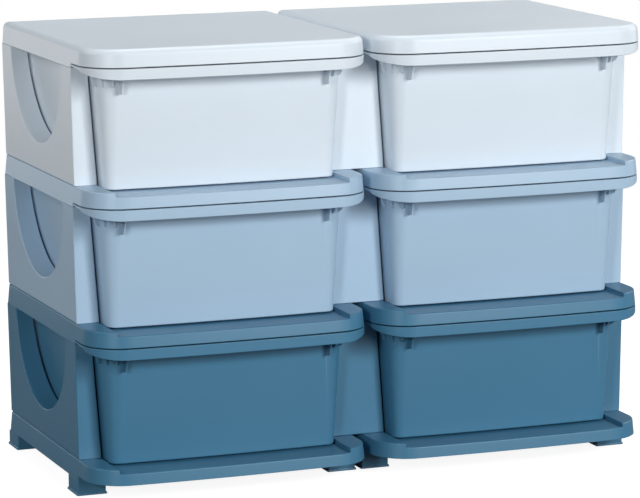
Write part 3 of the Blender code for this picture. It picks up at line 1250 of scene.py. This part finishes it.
class ShaderGraph:
    """Node tree of a material or world, filled through one method."""

    def __init__(self, owner: bpy.types.Material | bpy.types.World) -> None:
        """Start an empty node tree.

        Args:
            owner: material or world that the tree belongs to.
        """
        owner.use_nodes = True
        self.tree = owner.node_tree
        self.tree.nodes.clear()

    def node(
        self, kind: str, settings: dict[str, Any], inputs: dict[Any, Any], output: Any = 0
    ) -> Socket:
        """Add a node.

        Args:
            kind: the node's type.
            settings: its own settings, set before its sockets.
            inputs: values or links of its sockets, by name or place.
            output: name or place of the output to return.

        Returns:
            The output, wrapped.
        """
        made = self.tree.nodes.new(kind)
        for name, value in settings.items():
            setattr(made, name, value)
        for key, value in inputs.items():
            if isinstance(value, Socket):
                self.tree.links.new(value.output, made.inputs[key])
            else:
                made.inputs[key].default_value = value
        if not made.outputs:
            return Socket(self, None)
        return Socket(self, made.outputs[output])

    def place(self) -> Socket:
        """Place of the shaded point, in the piece's own axes."""
        return self.node("ShaderNodeTexCoord", {}, {}, "Object")

    def eased(self, value: Socket, start: float, end: float, top: float = 1.0) -> Socket:
        """Value eased from 0 at its start to the top share at its end."""
        inputs = {"Value": value, "From Min": start, "From Max": end, "To Max": top}
        return self.node("ShaderNodeMapRange", {"interpolation_type": "SMOOTHSTEP"}, inputs)

    def mixed(self, share: Any, first: Any, second: Any) -> Socket:
        """Mix of two colours by a share; a Mix node's colours are inputs 6 and 7 and output 2."""
        inputs = {0: share, 6: first, 7: second}
        return self.node("ShaderNodeMix", {"data_type": "RGBA"}, inputs, 2)


def linear(colour: Sequence[float]) -> tuple[float, float, float, float]:
    """Linear colour, with full alpha, of an sRGB colour."""
    channels = [c / 12.92 if c <= 0.04045 else ((c + 0.055) / 1.055) ** 2.4 for c in colour]
    return (*channels, 1.0)


@dataclass(frozen=True)
class PlasticFinish:
    """Satin injection-moulded plastic: colour, gloss, fine mould grain and soft mottling."""

    name: str
    slot: str
    colour: tuple[float, float, float]
    roughness: float = 0.40
    mottle: float = 0.035
    grain: float = 0.06
    grain_height: float = 0.0002
    # Raised edges turn paler: partly rubbed wear, partly a painted highlight.
    edge_light: float = 0.10
    edge_range: Point2 = (0.53, 0.66)
    cloud_scale: float = 11.0
    cloud_detail: float = 3.0
    speck_scale: float = 420.0
    speck_detail: float = 2.0
    grain_scale: float = 1900.0
    grain_detail: float = 1.0
    tone_shares: Point2 = (0.7, 0.3)
    bump_shares: Point2 = (0.6, 0.4)
    worn_white: float = 0.5
    cloud_gloss: float = 0.10
    speck_gloss: float = 0.08
    ior: float = 1.48

    def material(self) -> bpy.types.Material:
        """The finish's material, made on first use."""
        known = bpy.data.materials.get(self.name)
        return known or self.make()

    def noise(self, graph: ShaderGraph, scale: float, detail: float) -> Socket:
        """Even noise about 0.5 through the body of a piece; detail adds finer layers."""
        inputs = {"Vector": graph.place(), "Scale": scale, "Detail": detail}
        return graph.node("ShaderNodeTexNoise", {}, inputs)

    def edges(self, graph: ShaderGraph) -> Socket:
        """Share of the paler colour along raised edges: partly rubbed wear, partly a painted
        highlight.
        """
        point = graph.node("ShaderNodeNewGeometry", {}, {}, "Pointiness")
        return graph.eased(point, *self.edge_range, self.edge_light)

    def make(self) -> bpy.types.Material:
        """Build the material's nodes.

        Returns:
            The material.
        """
        material = bpy.data.materials.new(self.name)
        graph = ShaderGraph(material)
        cloud = self.noise(graph, self.cloud_scale, self.cloud_detail)
        speck = self.noise(graph, self.speck_scale, self.speck_detail)
        grain = self.noise(graph, self.grain_scale, self.grain_detail)
        clouded, specked = self.tone_shares
        fine, coarse = self.bump_shares
        base = linear(self.colour)[:3]
        deep = (*(c * (1 - self.mottle) for c in base), 1.0)
        pale = (*(min(c * (1 + self.mottle), 1.0) for c in base), 1.0)
        # Paler colour for raised edges: partly wear, partly a painted highlight.
        wear_and_highlight_tone = (*(mix(c, 1.0, self.worn_white) for c in base), 1.0)
        tone = graph.mixed(cloud * clouded + speck * specked, deep, pale)
        gloss = self.roughness + (cloud - 0.5) * self.cloud_gloss + (speck - 0.5) * self.speck_gloss
        bump = graph.node("ShaderNodeBump", {}, {
            "Strength": self.grain,
            "Distance": self.grain_height,
            "Height": grain * fine + speck * coarse,
        })
        shader = graph.node("ShaderNodeBsdfPrincipled", {}, {
            "Base Color": graph.mixed(self.edges(graph), tone, wear_and_highlight_tone),
            "Roughness": gloss,
            "Normal": bump,
            "IOR": self.ior,
        })
        graph.node("ShaderNodeOutputMaterial", {}, {"Surface": shader})
        return material


PALE = PlasticFinish("pale_blue_plastic", "pale_plastic", (0.852, 0.894, 0.929))
MID = PlasticFinish("steel_blue_plastic", "mid_plastic", (0.651, 0.758, 0.846))
DEEP = PlasticFinish("deep_blue_plastic", "deep_plastic", (0.259, 0.474, 0.597))
FINISHES = {Tier.TOP: PALE, Tier.MIDDLE: MID, Tier.BOTTOM: DEEP}


@dataclass
class Chest:
    """All the mouldings of the chest."""

    lid: Lid = field(default_factory=Lid)
    board: Board = field(default_factory=Board)
    side_panel: SidePanel = field(default_factory=SidePanel)
    centre_panel: CentrePanel = field(default_factory=CentrePanel)
    foot: Foot = field(default_factory=Foot)
    drawer: Drawer = field(default_factory=Drawer)

    def build_boards(self) -> None:
        """Lids, shelves and bases of both columns."""
        lid, board = self.lid.build(), self.board.build()
        y = LAYOUT.stile_y
        for column in Column:
            x = column.value * LAYOUT.column_x
            look = Look(f"base_{column.word}", CABINET, DEEP)
            self.board.dress(look, board, (x, y, LAYOUT.foot_height))
            for word, tier in (("lower", Tier.BOTTOM), ("upper", Tier.MIDDLE)):
                z = LAYOUT.floor_of(tier) + LAYOUT.panel_height
                look = Look(f"shelf_{word}_{column.word}", CABINET, FINISHES[tier])
                self.board.dress(look, board, (x, y, z))
            z = LAYOUT.floor_of(Tier.TOP) + LAYOUT.panel_height
            self.lid.dress(Look(f"lid_{column.word}", CABINET, PALE), lid, (x, y, z))

    def build_panels(self) -> None:
        """Side panels and centre panels of every tier."""
        side, centre = self.side_panel.build(), self.centre_panel.build()
        y = LAYOUT.stile_y + LAYOUT.panel_depth / 2
        for tier in Tier:
            z = LAYOUT.floor_of(tier)
            look = Look(f"centre_panel_{tier.word}", CABINET, FINISHES[tier])
            self.centre_panel.dress(look, centre, (0, y, z))
            for column in Column:
                look = Look(f"side_panel_{column.word}_{tier.word}", CABINET, FINISHES[tier])
                turn = math.pi if column is Column.RIGHT else 0.0
                place = (column.value * LAYOUT.column_x, y, z)
                self.side_panel.dress(look, side, place, turn)

    def build_feet(self) -> None:
        """Four feet under each base."""
        lug = LAYOUT.lip_raise - LAYOUT.seam
        meshes = {"front": self.foot.build(lug), "rear": self.foot.build(0.0)}
        for column in Column:
            for row, mesh in meshes.items():
                for edge in ("outer", "inner"):
                    node = f"foot_{column.word}_{row}_{edge}"
                    low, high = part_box(node)
                    place = ((low.x + high.x) / 2, (low.y + high.y) / 2, 0.0)
                    self.foot.dress(Look(node, CABINET, DEEP), mesh, place)

    def build_drawers(self) -> None:
        """Drawers of every tier, each on its own body."""
        mesh = self.drawer.build()
        for tier in Tier:
            for column in Column:
                node = f"drawer_{column.word}_{tier.word}"
                x = column.value * LAYOUT.column_x
                place = (x, LAYOUT.stile_y, LAYOUT.floor_of(tier))
                self.drawer.dress(Look(node, node, FINISHES[tier]), mesh, place)

    def build(self) -> None:
        """Build every piece in order."""
        self.build_boards()
        self.build_panels()
        self.build_feet()
        self.build_drawers()


@dataclass(frozen=True)
class SoftBox:
    """Large soft lamp."""

    name: str
    place: Point3
    aim: Point3
    size: Point2
    power: float

    def build(self) -> None:
        """Put the lamp in the scene."""
        lamp = bpy.data.lights.new(self.name, "AREA")
        lamp.shape = "RECTANGLE"
        lamp.size, lamp.size_y = self.size
        lamp.energy = self.power
        thing = bpy.data.objects.new(self.name, lamp)
        thing.location = self.place
        toward = Vector(self.aim) - Vector(self.place)
        thing.rotation_euler = toward.to_track_quat("-Z", "Y").to_euler()
        bpy.context.scene.collection.objects.link(thing)


@dataclass(frozen=True)
class Studio:
    """White studio round the chest: floor, world, lamps and camera."""

    floor_half: float = 30.0
    ambient: float = 0.02
    floor_bounce: float = 0.15
    floor_glow: float = 0.9
    floor_shade: float = 0.3
    floor_fade: Point2 = (1.0, 2.2)
    gloss_share: float = 0.1
    eye: Point3 = (-1.51597, -3.80949, 0.99004)
    yaw: float = 21.05500
    pitch: float = 9.79824
    roll: float = -0.28336
    focal_pixels: float = 3328.63
    image_width: int = 640
    sensor: float = 36.0
    clip_end: float = 200.0
    lamps: tuple[SoftBox, ...] = (
        SoftBox("key", (1.39, -3.62, 1.25), (0.0, 0.0, 0.28), (1.5, 1.5), 79.0),
        SoftBox("key_high", (1.63, -3.33, 1.78), (0.0, 0.0, 0.28), (0.6, 0.6), 33.0),
        SoftBox("fill", (-2.50, -2.97, 1.25), (0.0, 0.0, 0.28), (0.6, 0.6), 46.0),
        SoftBox("overhead", (0.1, 0.4, 2.6), (0.0, 0.0, 0.3), (1.4, 1.4), 26.0),
        SoftBox("left", (-2.5, 0.3, 1.6), (-0.3, 0.0, 0.4), (1.2, 1.2), 16.5),
        SoftBox("right", (2.6, 0.2, 1.0), (0.3, 0.0, 0.3), (1.2, 1.2), 16.0),
        SoftBox("left_rear", (-1.6, 3.2, 0.45), (-0.3, 0.0, 0.3), (1.2, 0.9), 8.0),
        SoftBox("right_rear", (1.6, 1.4, 2.0), (0.2, 0.0, 0.5), (1.4, 1.4), 10.0),
        SoftBox("rear", (0.5, 3.4, 0.35), (0.0, 0.0, 0.3), (1.6, 0.6), 20.0),
    )

    def seen(self, graph: ShaderGraph) -> Socket:
        """Share of the white backdrop that a ray meets: all for the camera, a part for glossy rays.

        Args:
            graph: node tree of the floor or of the world.

        Returns:
            The share, from 0 to 1.
        """
        camera, glossy, through = (
            graph.node("ShaderNodeLightPath", {}, {}, f"Is {ray} Ray")
            for ray in ("Camera", "Glossy", "Transmission")
        )
        return camera + glossy * self.gloss_share + through

    def build_floor(self) -> None:
        """Pale floor that looks white and keeps a soft shadow."""
        reach = self.floor_half
        mesh = bpy.data.meshes.new("studio_floor")
        corners = [(-reach, -reach, 0), (reach, -reach, 0), (reach, reach, 0), (-reach, reach, 0)]
        mesh.from_pydata(corners, [], [(0, 1, 2, 3)])
        floor = bpy.data.objects.new("studio_floor", mesh)
        bpy.context.scene.collection.objects.link(floor)
        material = bpy.data.materials.new("studio_floor_white")
        graph = ShaderGraph(material)
        plain, dim = (
            graph.node("ShaderNodeBsdfDiffuse", {}, {"Color": (grey, grey, grey, 1)})
            for grey in (self.floor_bounce, self.floor_shade)
        )
        glow = graph.node("ShaderNodeEmission", {}, {"Strength": self.floor_glow})
        near = graph.node("ShaderNodeAddShader", {}, {0: dim, 1: glow})
        white = graph.node("ShaderNodeEmission", {}, {"Strength": 1.0})
        length = {"operation": "LENGTH"}
        away = graph.node("ShaderNodeVectorMath", length, {0: graph.place()}, "Value")
        fade = graph.eased(away, *self.floor_fade)
        lit = graph.node("ShaderNodeMixShader", {}, {0: fade, 1: near, 2: white})
        surface = graph.node("ShaderNodeMixShader", {}, {0: self.seen(graph), 1: plain, 2: lit})
        graph.node("ShaderNodeOutputMaterial", {}, {"Surface": surface})
        mesh.materials.append(material)

    def build_world(self) -> None:
        """White background that lights the chest at a plain level."""
        world = bpy.data.worlds.new("studio_world")
        bpy.context.scene.world = world
        graph = ShaderGraph(world)
        light, white = (
            graph.node("ShaderNodeBackground", {}, {"Color": (1, 1, 1, 1), "Strength": strength})
            for strength in (self.ambient, 1.0)
        )
        back = graph.node("ShaderNodeMixShader", {}, {0: self.seen(graph), 1: light, 2: white})
        graph.node("ShaderNodeOutputWorld", {}, {"Surface": back})

    def build_camera(self) -> None:
        """Camera at the photograph's place, with the chest's depth centred on the origin."""
        yaw, pitch, roll = (math.radians(a) for a in (self.yaw, self.pitch, self.roll))
        ahead = Vector((
            math.sin(yaw) * math.cos(pitch),
            math.cos(yaw) * math.cos(pitch),
            -math.sin(pitch),
        ))
        right = Vector((math.cos(yaw), -math.sin(yaw), 0.0))
        up = right.cross(ahead)
        rolled_right = math.cos(roll) * right + math.sin(roll) * up
        rolled_up = math.cos(roll) * up - math.sin(roll) * right
        camera = bpy.data.cameras.new("camera")
        camera.sensor_width = self.sensor
        camera.lens = self.focal_pixels * self.sensor / self.image_width
        camera.clip_end = self.clip_end
        thing = bpy.data.objects.new("camera", camera)
        turn = Matrix((rolled_right, rolled_up, -ahead)).transposed().to_4x4()
        eye = Vector(self.eye) + Vector((0.0, LAYOUT.stile_y, 0.0))
        thing.matrix_world = Matrix.Translation(eye) @ turn
        bpy.context.scene.collection.objects.link(thing)
        bpy.context.scene.camera = thing

    def build(self) -> None:
        """Build the studio and set plain colour handling."""
        bpy.context.scene.view_settings.view_transform = "Standard"
        self.build_floor()
        self.build_world()
        for lamp in self.lamps:
            lamp.build()
        self.build_camera()


def main() -> None:
    """Build the chest and its studio."""
    logging.basicConfig(level=logging.INFO, format="%(message)s")
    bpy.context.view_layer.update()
    Studio().build()
    Chest().build()


if __name__ == "__main__":
    main()
